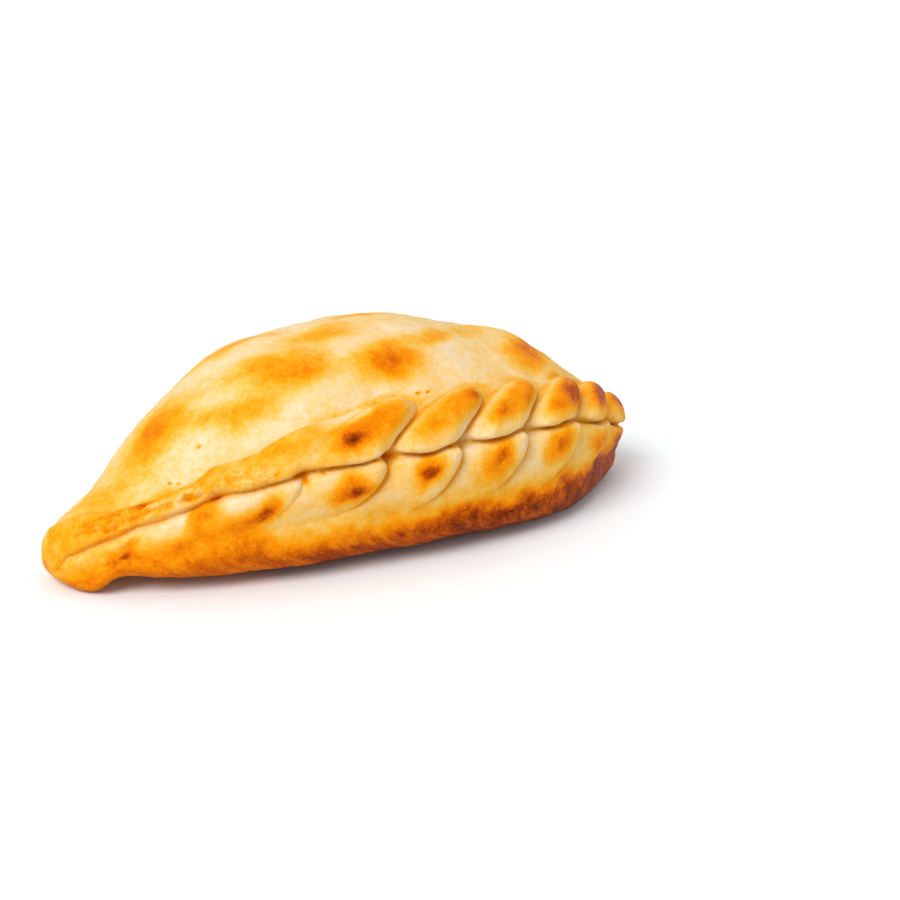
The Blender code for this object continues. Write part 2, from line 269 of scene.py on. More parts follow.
def skin_points(x, share):
    """Points of the bare skin: each cross section is two half superellipses, over the waist and under it.

    share is the angle round the section as a part of its way, -1 in the middle of the underside, 0 at the
    seam and +1 back in the middle of the underside, by way of the top.
    """
    top, under, front, back, seam = (smooth_through(SECTIONS[:, [0, k]], x) for k in range(1, 6))
    waist = under + WAIST_SHARE * (top - under)
    reach = np.where(seam > waist, top - waist, waist - under)
    seam_angle = np.pi - np.arcsin(np.clip((seam - waist) / reach, -SEAM_HIGHEST, SEAM_HIGHEST))
    underside = np.where(share < 0, 1.5 * np.pi, -0.5 * np.pi)
    angle = mixed(seam_angle, underside, np.abs(share))
    across, up = np.cos(angle), np.sin(angle)
    power = np.where(up > 0, DOME_POWER, BELLY_POWER)
    radius = (np.abs(across) ** power + np.abs(up) ** power) ** (-1 / power)
    y = (front + back) / 2 + (back - front) / 2 * radius * across
    z = waist + np.where(up > 0, top - waist, waist - under) * radius * up
    return np.stack([x + 0 * y, y, np.maximum(z - PRESSED_FLAT, 0)], axis=-1)


def crowded(count, gaps):
    """Numbers from 0 to 1, spaced like the gaps listed as (up to this way, gap) in millimetres."""
    way = np.linspace(0, gaps[-1][0], FINE_STEPS)
    gap = np.select([way < end for end, _ in gaps], [size for _, size in gaps], gaps[-1][1])
    density = np.convolve(1 / gap, np.ones(GAP_BLUR) / GAP_BLUR, mode="same")
    total = np.concatenate([[0], np.cumsum(density[1:])])
    return np.interp(np.linspace(0, total[-1], count), total, way) / way[-1]


def wall_distances(points):
    """Length of each section's line from the seam to each of its points, + above the seam and - below."""
    steps = np.linalg.norm(np.diff(points, axis=1), axis=2)
    girth = np.concatenate([np.zeros((len(points), 1)), np.cumsum(steps, axis=1)], axis=1)
    return girth - girth[:, COLUMNS_BELOW : COLUMNS_BELOW + 1]


def fold_lean(along, up):
    """How far a crease has moved along the seam: a parabola above, a step and a power of the depth below."""
    above = np.maximum(up, 0)
    depth = np.maximum(-up, 0) / smooth_through(LOWER_REACH, along)
    back = LOWER_LEAN[0] * eased(depth, 0, LEAN_STEP) + LOWER_LEAN[1] * depth ** LOWER_LEAN[2]
    return UPPER_LEAN[0] * above + UPPER_LEAN[1] * above**2 - back


def grid_shift(along, up, seam_length):
    """Slides the grid along the creases, fading by a cosine up and down the wall, and evenly at the tips."""
    over_dome, under_belly, at_tips = SLIDE_FADES
    above, below = smooth_through(UPPER_REACH, along), smooth_through(LOWER_REACH, along)
    past = np.maximum(up - above, 0) / over_dome + np.maximum(-up - below, 0) / under_belly
    fade = 0.5 + 0.5 * np.cos(np.pi * np.clip(past, 0, 1))
    tips = np.clip(np.minimum(along, seam_length - along) / at_tips, 0, 1)
    return fold_lean(along, np.clip(up, -below, above)) * fade * tips


def place_in_fold(along, up, creases):
    """Share of the way across its fold that each point lies, and how wide that fold is."""
    straight = along - fold_lean(along, up)
    fold = np.clip(np.searchsorted(creases, straight, side="right") - 1, 0, len(creases) - 2)
    width = creases[fold + 1] - creases[fold]
    return np.clip((straight - creases[fold]) / width, 0, 1), width


def faded_at_tips(along, seam_length, distances):
    """1 along the seam, easing to 0 over the distances given for the tip at -X and for the tip at +X."""
    return eased(along, *distances[0]) * eased(seam_length - along, *distances[1])


# Lattice noise. The large odd numbers scatter a corner's three whole numbers and its seed over 32 bits.
SCATTER = (73856093, 19349663, 83492791, 2654435761)
STIR = (2246822519, 3266489917)
BITS_32 = 0xFFFFFFFF
BITS_24 = 0xFFFFFF
ROUGH_LAYERS = 3
ROUGH_SUM = 1.6  # what the layers of rough add up to at most, nearly
BUBBLE_JITTER = 0.45  # how far a bubble sits from the middle of its lattice cell, in cells
BUBBLE_RADII = (0.65, 0.35)  # a bubble's usual share of the full radius, and how much that varies
BUBBLE_HEIGHTS = (0.7, 0.3)  # the same for its height


def corner_value(corner, seed):
    """A number from -1 to 1 for each whole-numbered lattice corner, from a fixed mix of its bits."""
    x, y, z = (corner[..., k].astype(np.int64) for k in range(3))
    mix = (x * SCATTER[0]) ^ (y * SCATTER[1]) ^ (z * SCATTER[2]) ^ (seed * SCATTER[3])
    mix = ((mix ^ (mix >> 15)) * STIR[0]) & BITS_32
    mix = ((mix ^ (mix >> 13)) * STIR[1]) & BITS_32
    return ((mix ^ (mix >> 16)) & BITS_24) / (BITS_24 // 2) - 1


def lumps(points, size, seed):
    """Smooth unevenness from -1 to 1: values at the corners of a lattice, blended by a quintic."""
    place = points / size
    corner = np.floor(place)
    part = place - corner
    ease = part**3 * (part * (6 * part - 15) + 10)
    total = np.zeros(points.shape[:-1])
    for step in np.ndindex(2, 2, 2):
        weight = np.prod(np.where(np.array(step) == 1, ease, 1 - ease), axis=-1)
        total += weight * corner_value(corner + np.array(step), seed)
    return total


def heaped(points, *listed):
    """Sum of lumps listed as (height, size, seed)."""
    return sum(height * lumps(points, size, seed) for height, size, seed in listed)


def rough(points, height, size, seed):
    """Lumps of halving size and strength added together, up to about that height."""
    layers = (lumps(points, size / 2**k, seed + k) / 2**k for k in range(ROUGH_LAYERS))
    return height * sum(layers) / ROUGH_SUM


def bubbles(points, height, spacing, radius, seed):
    """Low round domes about jittered lattice points: 1 - (distance / radius) squared, the highest of 27."""
    corner = np.floor(points / spacing)
    best = np.zeros(points.shape[:-1])
    for step in np.ndindex(3, 3, 3):
        cell = corner + np.array(step) - 1
        jitter = np.stack([corner_value(cell, seed + k) for k in range(3)], axis=-1)
        centre = (cell + 0.5 + BUBBLE_JITTER * jitter) * spacing
        size = radius * (BUBBLE_RADII[0] + BUBBLE_RADII[1] * corner_value(cell, seed + 3))
        dome = np.clip(1 - np.sum((points - centre) ** 2, axis=-1) / size**2, 0, 1)
        dome *= BUBBLE_HEIGHTS[0] + BUBBLE_HEIGHTS[1] * corner_value(cell, seed + 4)
        best = np.maximum(best, dome)
    return height * best


# The seam isn't straight on the wall. It bends down round the drooping tip and dips a little beside it, sags
# under the middle of each fold, and wanders.
SEAM_DROP = 4.5  # mm, as are the other heights here
SEAM_DROP_ENDS = (1.5, 6.5)  # over these distances from that tip
SEAM_DIP = 1.0
SEAM_DIP_ALONG = (20.0, 8.0)  # its middle and radius
SEAM_DIP_STARTS = (6.0, 12.0)
SEAM_SAG = 0.75
SEAM_RAISED = 0.4  # height at the creases, from which it sags
SEAM_WANDERS = (0.35, 4.5, 9)  # height, size and seed of its lumps
SEAM_MOVES_WALL = 4.0  # how far up and down the wall this is felt

seam_x = -HALF_LENGTH * np.cos(np.linspace(0, np.pi, FINE_STEPS))
seam_steps = np.linalg.norm(np.diff(skin_points(seam_x, np.zeros(FINE_STEPS)), axis=0), axis=1)
seam_distance = np.concatenate([[0], np.cumsum(seam_steps)])
seam_length = seam_distance[-1]
creases = np.array([0.0, *FOLD_CREASES, seam_length])

turn = np.linspace(0, np.pi, STATIONS)
station_along = seam_length * mixed(0.5 - 0.5 * np.cos(turn), turn / np.pi, STATIONS_EVEN)
station_x = np.interp(station_along, seam_distance, seam_x)
below_share = -crowded(COLUMNS_BELOW + 1, GAPS_BELOW)[:0:-1]
above_share = crowded(COLUMNS_ABOVE + 1, GAPS_ABOVE)[:-1]
share_round = np.concatenate([below_share, above_share])

up = wall_distances(skin_points(station_x[:, None], share_round[None, :]))
along = station_along[:, None] + grid_shift(station_along[:, None], up, seam_length)
skin = skin_points(np.interp(along, seam_distance, seam_x), share_round[None, :])
up = np.stack([np.interp(skin[:, j, 0], station_x, up[:, j]) for j in range(up.shape[1])], axis=1)
across_at_seam, _ = place_in_fold(along, np.zeros_like(up), creases)
up += SEAM_DROP * (1 - eased(along, *SEAM_DROP_ENDS))
up += SEAM_DIP * bell(along, *SEAM_DIP_ALONG) * eased(along, *SEAM_DIP_STARTS)
sag = SEAM_SAG * np.sin(np.pi * across_at_seam) - SEAM_RAISED + heaped(skin, SEAM_WANDERS)
up += sag * np.exp(-np.abs(up) / SEAM_MOVES_WALL)
across_fold, fold_width = place_in_fold(along, up, creases)

# Upper folds: pillows that start beside their crease, rise by a parabola and sink by another, and narrow
# towards the top. Rises and sinks are shares of the pillow's width.
UPPER_START = (0.12, 1.4)  # share of the fold left free beside the crease, and the height over which that fades
UPPER_RISE = 0.3
UPPER_SINK = 0.4
UPPER_WIDTH = 1.06
UPPER_NARROWEST = 0.26
UPPER_TAPER = (4.0, 0.85)  # powers of the height, and of the width that it leaves
UPPER_TOP_POWER = 0.6
UPPER_EDGE = 1.3  # radius of the folds' edge over the cleft
FLOOR_JOINED = 0.94  # height of the floor that joins them into a strip towards the drooping tip
FLOOR_PARTED = 0.06  # its height where the folds part
FLOOR_PARTS = (52.0, 76.0)
EDGE_HEIGHT = 0.35  # height left right at the cleft, as a share of the fold's

# Lower folds: leaves that climb to the right over one another and drop at their right edge.
LEAF_FLOOR = 0.1
LEAF_RISE = 0.3
LEAF_CLIMB = (0.1, 0.85)
LEAF_DROP = 0.2
LEAF_PLAIN = 0.7  # height of the plain fold to the left of the leaves
LEAVES_START = (44.0, 68.0)
LEAF_FOOT_POWER = 1.5
LOWER_EDGE = 1.6  # radius of the leaves' edge under the cleft


def crimp_relief(along, up, share):
    """Height of the folds over the bare skin, as a share of their full height.

    Above the cleft: pillows that rise by a parabola at their left edge and sink by one to the right, on a
    floor that joins them into one strip towards the drooping tip. Below it: leaves that climb to the right
    and drop at their right edge by a quarter of a circle.
    """
    above, below = np.maximum(up, 0), np.maximum(-up, 0)
    height = np.clip(above / smooth_through(UPPER_REACH, along), 0, 1)
    start = UPPER_START[0] * np.exp(-above / UPPER_START[1])
    top_left = 1 - height ** UPPER_TAPER[0]
    across = (share - start) / np.hypot(UPPER_WIDTH * top_left ** UPPER_TAPER[1] - start, UPPER_NARROWEST)
    pillow = arched(across / UPPER_RISE) * (1 - np.clip((across - 1 + UPPER_SINK) / UPPER_SINK, 0, 1) ** 2)
    floor = mixed(FLOOR_JOINED, FLOOR_PARTED, eased(along, *FLOOR_PARTS))
    upper = mixed(floor, 1, pillow) * top_left**UPPER_TOP_POWER
    upper *= mixed(EDGE_HEIGHT, 1, rounded(above / UPPER_EDGE))
    leaf = (arched(share / LEAF_RISE) + eased(share, *LEAF_CLIMB)) / 2 * rounded((1 - share) / LEAF_DROP)
    leaf = mixed(LEAF_PLAIN, leaf, eased(along, *LEAVES_START))
    depth = np.clip(below / smooth_through(LOWER_REACH, along), 0, 1)
    lower = mixed(LEAF_FLOOR, 1, leaf) * (1 - depth**2) ** LEAF_FOOT_POWER
    lower *= mixed(EDGE_HEIGHT, 1, rounded(below / LOWER_EDGE))
    return np.where(up > 0, upper, lower)


# The cleft between the two rows, wider and deeper where a crease meets it, and the narrow grooves along the
# creases.
CLEFT_DEPTH = 1.3
CLEFT_WIDTH = 0.8
CLEFT_AT = -0.3  # its middle, just below the seam
CLEFT_FADES = ((1.0, 12.0), (4.0, 16.0))
CREASE_MEETS = 1.5  # how far along a crease is felt in the cleft
CREASE_DEEPENS = 0.8
CREASE_WIDENS = 0.7
GROOVE_DEPTH = 0.4
GROOVE_WIDTH = 0.8
GROOVE_BESIDE = 0.2  # how far to the right of the crease a groove lies
GROOVE_FADES = (0.35, 0.95)  # shares of the folds' reach over which it fades
UPPER_GROOVES_START = (64.0, 74.0)
GROOVES_END = (4.0, 14.0)  # from the tip at +X


def cleft_relief(along, up, share, fold_width, creases):
    """The gap between the upper and lower folds: a bell-shaped groove, deeper where a crease meets it.

    Narrower bell-shaped grooves run up and down from it along the creases.
    """
    reach = np.where(up > 0, smooth_through(UPPER_REACH, along), smooth_through(LOWER_REACH, along))
    nearest = np.where(share < 0.5, share, share - 1) * fold_width
    strength = np.where(up > 0, eased(along, *UPPER_GROOVES_START), eased(along, *LEAVES_START))
    strength = strength * eased(creases[-1] - along, *GROOVES_END)
    strength = strength * (1 - eased(np.abs(up) / reach, *GROOVE_FADES))
    grooves = GROOVE_DEPTH * strength * bell(nearest, GROOVE_BESIDE, GROOVE_WIDTH)
    meeting = sum(bell(along, crease, CREASE_MEETS) for crease in creases[2:-1])
    depth = CLEFT_DEPTH * (1 + CREASE_DEEPENS * meeting) * faded_at_tips(along, creases[-1], CLEFT_FADES)
    return -depth * bell(up, CLEFT_AT, CLEFT_WIDTH * (1 + CREASE_WIDENS * meeting)) - grooves


def bells(along, up, listed):
    """Sum of bell-shaped bumps listed as (along, up, radius along, radius up, height)."""
    relief = np.zeros_like(up)
    for centre_along, centre_up, radius_along, radius_up, height in listed:
        relief += height * bell(along, centre_along, radius_along) * bell(up, centre_up, radius_up)
    return relief


def averaged(values, reach):
    """Mean over a square of grid points, reach points to each side; the columns close on themselves."""
    padded = np.pad(values, ((reach, reach), (0, 0)), mode="edge")
    rows = sum(padded[k : k + len(values)] for k in range(2 * reach + 1))
    return sum(np.roll(rows, k, axis=1) for k in range(-reach, reach + 1)) / (2 * reach + 1) ** 2


proud = crimp_relief(along, up, across_fold)
full_height = np.where(up > 0, smooth_through(UPPER_RELIEF, along), smooth_through(LOWER_RELIEF, along))
folds = proud * full_height + cleft_relief(along, up, across_fold, fold_width, creases)

# Towards the drooping tip the strip is two layers thick. LEDGE is how far above the seam the outer layer
# ends. Its edge waves, swings to and fro, and ripples, each by so much over such a length along the seam.
LEDGE = np.array([(8, 2.6), (14, 2.1), (20, 1.8), (28, 1.9), (33, 2.1), (38, 0.4)])
LEDGE_STEP = 0.9  # how thick the outer layer is
LEDGE_RISER = (-0.2, 0.25)  # heights about its edge between which it ends
LEDGE_WAVE = (0.3, 1.3)
LEDGE_SWING = (1.8, 3.1)
LEDGE_RIPPLE = (0.15, 0.55)
LEDGE_ALONG = ((7.0, 12.0), (34.0, 38.0))
LEDGE_UP = (-0.4, 0.2)


def ledge_height(along, up):
    """How far each point lies above the outer layer's edge, a sine swung by a slower one, with ripples."""
    swung = along / LEDGE_WAVE[1] + LEDGE_SWING[0] * np.sin(along / LEDGE_SWING[1])
    wavy = LEDGE_WAVE[0] * np.sin(swung) + LEDGE_RIPPLE[0] * np.sin(along / LEDGE_RIPPLE[1])
    return up - smooth_through(LEDGE, along) - wavy


over_ledge = ledge_height(along, up)
on_ledge = within(along, *LEDGE_ALONG) * eased(up, *LEDGE_UP)

# The strip itself is crumpled into flakes with steep sides, stretched along the seam and curled by lumps.
# Each kind of flake has a height, a size, a seed, and how gentle its sides are.
CRUMPLE_UP = ((0.2, 1.2), (3.0, 5.5))
CRUMPLE_ALONG = ((8.0, 16.0), (40.0, 54.0))
CURL = 1.1
CURL_SIZE = 2.6
CURL_SEEDS = (71, 72, 73)
FLAKE_STRETCH = np.array([0.55, 1.0, 1.0])
FLAKES = ((1.0, 1.3, 74, 0.20), (0.7, 0.8, 75, 0.25))

curled = skin + CURL * np.stack([lumps(skin, CURL_SIZE, seed) for seed in CURL_SEEDS], axis=-1)
curled = curled * FLAKE_STRETCH
flakes = sum(height * np.tanh(lumps(curled, size, seed) / gentle) for height, size, seed, gentle in FLAKES)
crumple = within(up, *CRUMPLE_UP) * within(along, *CRUMPLE_ALONG)


def layered(tone, layer):
    """Browning on top of browning: each layer works on what is still pale."""
    return tone + layer * (1 - tone)


# Browning, from 0 for pale dough to 1 for nearly burnt. First the patches, warped by lumps so that none is a
# clean oval. PATCH_EDGE is from where to where a patch fades, in its radii.
PATCH_WARP_ALONG = ((1.7, 7.0, 11), (0.8, 2.6, 12))
PATCH_WARP_UP = ((1.3, 6.0, 13), (0.6, 2.4, 14))
PATCH_EDGE = (0.15, 1.2)

patch_along = along + heaped(skin, *PATCH_WARP_ALONG)
patch_up = up + heaped(skin, *PATCH_WARP_UP)
browning = np.zeros_like(up)
for centre_along, centre_up, radius_along, radius_up, slant, brown in BROWNED:
    higher = patch_up - centre_up
    sideways = patch_along - centre_along - slant * higher
    distance = np.hypot(sideways / radius_along, higher / radius_up)
    browning = layered(browning, brown * (1 - eased(distance, *PATCH_EDGE)))

# The parts of the crust that are coloured alike: both tips, which reach further in up the dome, the left
# half, the strip, and all but the middle of the underside. Their edges wander by lumps (height, size, seed),
# as does the height over the tray.
LEFT_TIP_ENDS = (12.0, 36.0)
LEFT_TIP_LEANS = -0.5
LEFT_TIP_WANDERS = (3.0, 6.0, 22)
RIGHT_TIP_STARTS = (-20.0, 2.0)  # from the seam's end
RIGHT_TIP_LEANS = 0.4
RIGHT_TIP_WANDERS = (3.0, 6.0, 23)
LEFT_HALF_ENDS = (38.0, 52.0)
LEFT_HALF_WANDERS = (4.0, 8.0, 29)
STRIP_ALONG = ((12.0, 24.0), (54.0, 66.0))
MIDDLE_SHARE = (0.0, 0.3)  # share of the way round, from the middle of the underside
HEIGHT_WANDERS = ((1.4, 5.0, 24), (0.9, 1.8, 25))

above_seam = np.maximum(up, 0)
from_left = along + LEFT_TIP_LEANS * above_seam + heaped(skin, LEFT_TIP_WANDERS)
left_tip = 1 - eased(from_left, *LEFT_TIP_ENDS)
past_right = along - seam_length + RIGHT_TIP_LEANS * above_seam + heaped(skin, RIGHT_TIP_WANDERS)
right_tip = eased(past_right, *RIGHT_TIP_STARTS)
left_half = 1 - eased(along + heaped(skin, LEFT_HALF_WANDERS), *LEFT_HALF_ENDS)
on_strip = within(along, *STRIP_ALONG)
off_middle = eased(1 - np.abs(share_round), *MIDDLE_SHARE)
over_tray = skin[..., 2] + heaped(skin, *HEIGHT_WANDERS)

# The whole crust has a tone, rough and browner to the right. On it the upper folds are golden where they
# stand proud, paler at the left tip and along their margins. Amounts are listed with where they come in.
CRUST_TONE = 0.09
CRUST_RIGHT = ((0.09, 95.0, 130.0),)
CRUST_ROUGH = (0.10, 8.0, 21)
GOLD = 0.19
GOLD_RIGHT = ((0.17, 54.0, 68.0), (0.14, 92.0, 118.0))
GOLD_ROUGH = (0.24, 4.5, 35)
GOLD_LEFT_TIP = -0.10
GOLD_STRIP = 0.05
MARGIN_PALER = 0.7
MARGINS_START = (60.0, 74.0)
LEFT_MARGIN = (0.06, 0.30)
RIGHT_MARGIN = (0.04, 0.26)
GOLD_FROM = 0.4  # height above the seam from which it comes in
GOLD_FULL = (2.2, 4.0)  # height where it is full, on the strip and on the folds
GOLD_FULL_CHANGES = (36.0, 48.0)
PROUD_FROM = (0.20, 0.04)  # how proud it has to stand, on the folds and on the strip
PROUD_SPAN = (0.7, 0.3)

overall = CRUST_TONE + rising(along, CRUST_RIGHT) + rough(skin, *CRUST_ROUGH)
golden = GOLD + rising(along, GOLD_RIGHT) + rough(skin, *GOLD_ROUGH) + GOLD_LEFT_TIP * left_tip
off_margins = eased(across_fold, *LEFT_MARGIN) * eased(1 - across_fold, *RIGHT_MARGIN)
golden *= 1 - MARGIN_PALER * eased(along, *MARGINS_START) * (1 - off_margins)
golden += GOLD_STRIP * on_strip
golden *= eased(up, GOLD_FROM, mixed(*GOLD_FULL, eased(along, *GOLD_FULL_CHANGES)))
proud_from = mixed(*PROUD_FROM, on_strip)
golden *= eased(proud, proud_from, proud_from + mixed(*PROUD_SPAN, on_strip))

# The lip of the strip, warmer partly by its own tone and partly as painted shade on its downward face; painted
# shade inside the cleft; the wall below the folds, browner lower down, partly baked and partly painted shade;
# and both tips.
STRIP_LIP = 0.15
STRIP_LIP_ENDS = (56.0, 72.0)
STRIP_LIP_UP = ((-0.4, 0.2), (1.0, 2.4))
CLEFT_SHADE = 0.24
CLEFT_SHADE_UP = (-0.2, 0.45)  # its middle and radius
CLEFT_SHADE_STARTS = (14.0, 40.0)
WALL_DOWN = ((0.06, 1.0, 6.0), (0.16, 7.0, 12.0))  # amounts, with the way below the seam where they come in; the deeper one is partly painted shade
LEFT_WALL_DOWN = ((0.30, 2.0, 7.0),)
LEFT_TIP_TONE = 0.13
RIGHT_TIP_TONE = 0.18

# The lip is warmer, partly by its own tone and partly as painted shade on its downward face.
strip_lip_and_shade = STRIP_LIP * (1 - eased(along, *STRIP_LIP_ENDS)) * within(up, *STRIP_LIP_UP)
# Painted shade along the inside of the cleft.
cleft_shade = CLEFT_SHADE * bell(up, *CLEFT_SHADE_UP) * eased(along, *CLEFT_SHADE_STARTS)
# Browner down the wall: the shallower layer is baked tone, the deeper one partly painted shade.
lower_wall_and_shade = off_middle * rising(-up, WALL_DOWN)
left_wall = off_middle * left_half * rising(-up, LEFT_WALL_DOWN)
both_tips = LEFT_TIP_TONE * left_tip + RIGHT_TIP_TONE * right_tip

# The band that toasted against the hot tray, higher and browner to the right, and below it a strip that is
# darker still over the lowest millimetres above the tray.
TOASTED = 0.42
TOASTED_RIGHT = ((0.34, 40.0, 54.0), (0.06, 76.0, 90.0))
TOASTED_LEFT_TIP = -0.18
TOASTED_FADES_FROM = (5.0, 8.0)  # mm over the tray, at the left and at the right
TOASTED_FADES_CHANGE = (60.0, 95.0)
TOASTED_TOP = 13.0
DARKER_LOW = 0.28
DARKER_LOW_STARTS = (42.0, 80.0)
DARKER_LOW_LEFT_OVER = 0.3  # share of it left at the right end
DARKER_LOW_ENDS = (98.0, 122.0)
DARKER_LOW_UP = (0.5, 6.0)

toasted = TOASTED + rising(along, TOASTED_RIGHT) * (1 - right_tip) + TOASTED_LEFT_TIP * left_tip
toasted_from = mixed(*TOASTED_FADES_FROM, eased(along, *TOASTED_FADES_CHANGE))
toasted *= 1 - eased(over_tray, toasted_from, TOASTED_TOP)
darker_low = DARKER_LOW * eased(along, *DARKER_LOW_STARTS) * (1 - eased(over_tray, *DARKER_LOW_UP))
darker_low *= mixed(1, DARKER_LOW_LEFT_OVER, eased(along, *DARKER_LOW_ENDS))

for layer in (overall, golden, strip_lip_and_shade, cleft_shade, lower_wall_and_shade, both_tips, left_wall, toasted, darker_low):
    browning = layered(browning, layer)

# Small differences of tone: mottling that is stronger where it browned, specks, flakes, the outer layer's
# edge, paler partly as dough and partly as a painted highlight, with painted shade under it, painted shade in
# the pits, and painted shade in the hollows beside the folds.
MOTTLE = (0.05, 1.8, 27)
MOTTLE_ON_BROWN = 3.0
SPECKS = (0.035, 0.6, 28)
FLAKE_TONE = 0.045
LEDGE_TONE = 0.10
LEDGE_TONE_UP = ((0.0, 0.8), (1.5, 3.5))
LEDGE_PALER = 0.02
LEDGE_EDGE_PALER_AND_HIGHLIGHT = 0.05
LEDGE_EDGE_UP = (0.25, 0.25)  # its middle and radius
LEDGE_SHADE_TONE = 0.10
LEDGE_SHADE_UP = (-0.3, 0.22)
PIT_SHADE = 0.35
HOLLOW_SHADE = 0.20
HOLLOW_REACH = 5  # grid points over which the folds are averaged to find the hollows
HOLLOW_DEPTHS = (0.03, 0.4)
HOLLOW_OFF_CLEFT = (0.4, 1.6)

browning += (1 + MOTTLE_ON_BROWN * browning) * rough(skin, *MOTTLE) + heaped(skin, SPECKS)
browning -= FLAKE_TONE * crumple * flakes
# Browner above the outer layer's edge; along the edge paler, partly paler dough and partly a painted highlight;
# painted shade just under it.
ledge_tone_and_light = LEDGE_TONE * within(over_ledge, *LEDGE_TONE_UP) - LEDGE_PALER
ledge_tone_and_light -= LEDGE_EDGE_PALER_AND_HIGHLIGHT * bell(over_ledge, *LEDGE_EDGE_UP)
ledge_tone_and_light += LEDGE_SHADE_TONE * bell(over_ledge, *LEDGE_SHADE_UP)
browning += on_ledge * ledge_tone_and_light
# Painted shade darkens each pit.
for centre_along, centre_up, radius_along, radius_up, _ in PITS:
    pit = bell(along, centre_along, radius_along) * bell(up, centre_up, radius_up)
    browning = layered(browning, PIT_SHADE * pit)
# Painted shade in the hollows, where the folds lie lower than around them.
shaded_hollow = eased(averaged(folds, HOLLOW_REACH) - folds, *HOLLOW_DEPTHS)
shaded_hollow *= eased(np.abs(up - CLEFT_AT), *HOLLOW_OFF_CLEFT) * (1 - on_strip * (up > 0))
browning = np.clip(browning + HOLLOW_SHADE * shaded_hollow, 0, 1)

# Relief of the skin besides the folds: a gentle unevenness all over, blisters and a grain that are sharper
# where it browned, the crumpled strip, its outer layer, and a dimple beside the drooping tip.
UNEVEN = ((0.35, 14.0, 31), (0.26, 5.0, 32), (0.08, 2.0, 33))
SHARP_ON_BROWN = (0.25, 0.7)
SMALL_BLISTERS = (0.10, 2.4, 1.1, 41)  # height, spacing, radius and seed
LARGE_BLISTERS = (0.16, 5.0, 2.2, 51)
GRAIN = (0.05, 1.1, 61)
CRUMPLE_HEIGHT = 0.2
DIMPLE_DEPTH = 0.9
DIMPLE_ALONG = (18.0, 2.6)  # its middle and radius
DIMPLE_UP = (-3.0, 0.8)
DIMPLE_SLANT = 0.4

browned = eased(browning, *SHARP_ON_BROWN)
blistered = bubbles(skin, *SMALL_BLISTERS) * browned + bubbles(skin, *LARGE_BLISTERS)
grain = browned * rough(skin, *GRAIN)
wrinkles = CRUMPLE_HEIGHT * crumple * flakes
ledge = LEDGE_STEP * on_ledge * (eased(over_ledge, *LEDGE_RISER) - 1)
dimple_along = along - DIMPLE_SLANT * (up - DIMPLE_UP[0])
dimple = DIMPLE_DEPTH * bell(dimple_along, *DIMPLE_ALONG) * bell(up, *DIMPLE_UP)
relief = folds + bells(along, up, SWELLINGS) - bells(along, up, PITS)
relief += heaped(skin, *UNEVEN) + blistered + grain + wrinkles + ledge - dimple

# The relief goes outwards from the skin, and dies away at the tips and where the skin lies on the tray. The
# edge of the upper folds also hangs down over the cleft, further on the folds than on the strip.
TIP_FADES = ((0.5, 7.0), (0.0, 10.0))
TRAY_FADE = 3.0
OVERHANG = (0.3, 0.8)
OVERHANG_GROWS = (45.0, 70.0)
OVERHANG_UP = (0.8, 0.7)  # its middle and radius
OVERHANG_FULL = 2.5  # height of a fold whose edge hangs down all the way

wall_up = np.roll(skin, -1, axis=1) - skin
wall_round = np.roll(skin, -1, axis=1) - np.roll(skin, 1, axis=1)
outward = unit(np.cross(np.gradient(skin, axis=0), wall_round))
tips = faded_at_tips(along, seam_length, TIP_FADES)
raised = relief * tips * np.clip(skin[..., 2] / TRAY_FADE, 0, 1)
overhang = mixed(*OVERHANG, eased(along, *OVERHANG_GROWS)) * bell(up, *OVERHANG_UP)
lowered = overhang * np.clip(folds / OVERHANG_FULL, 0, 1) * tips
crust_points = skin + outward * raised[..., None] - unit(wall_up) * lowered[..., None]
crust_points[..., 2] = np.maximum(crust_points[..., 2], 0)

node_low, node_high = (np.array(corner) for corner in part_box("empanada"))
middle = (crust_points.min(axis=(0, 1)) + crust_points.max(axis=(0, 1))) / 2
crust_points[..., :2] += (node_low + node_high)[:2] / 2 / MM - middle[:2]


def closed_grid_mesh(name, points):
    """A mesh of the grid in metres: quads that close round the columns, and a fan at each tip."""
    stations, columns = points.shape[:2]
    ends = np.stack([points[0].mean(axis=0), points[-1].mean(axis=0)])
    vertices = np.concatenate([points.reshape(-1, 3), ends]) * MM
    number = np.arange(stations * columns).reshape(stations, columns)
    beside = np.roll(number, -1, axis=1)
    quads = np.stack([number[:-1], number[1:], beside[1:], beside[:-1]], axis=-1).reshape(-1, 4)
    first = np.stack([number[0], beside[0], np.full(columns, stations * columns)], axis=-1)
    last = np.stack([beside[-1], number[-1], np.full(columns, stations * columns + 1)], axis=-1)
    mesh = bpy.data.meshes.new(name)
    mesh.from_pydata(vertices.tolist(), [], quads.tolist() + first.tolist() + last.tolist())
    mesh.shade_smooth()
    return mesh


def add_layer(mesh, name, values):
    """Puts a value on each point of the closed grid, and on each tip the mean of the values around it."""
    everywhere = np.concatenate([values.ravel(), [values[0].mean(), values[-1].mean()]])
    layer = mesh.attributes.new(name, "FLOAT", "POINT")
    layer.data.foreach_set("value", everywhere.astype(np.float32))


# Fine creases go where the dough is wrinkled: on the crumpled strip, and less so on both sides of the cleft.
WRINKLED_STRIP = 0.7
WRINKLED_BY_CLEFT = 0.4
WRINKLED_UP = (0.0, 3.5)  # its middle and radius
WRINKLED_FADES = ((30.0, 50.0), (5.0, 20.0))

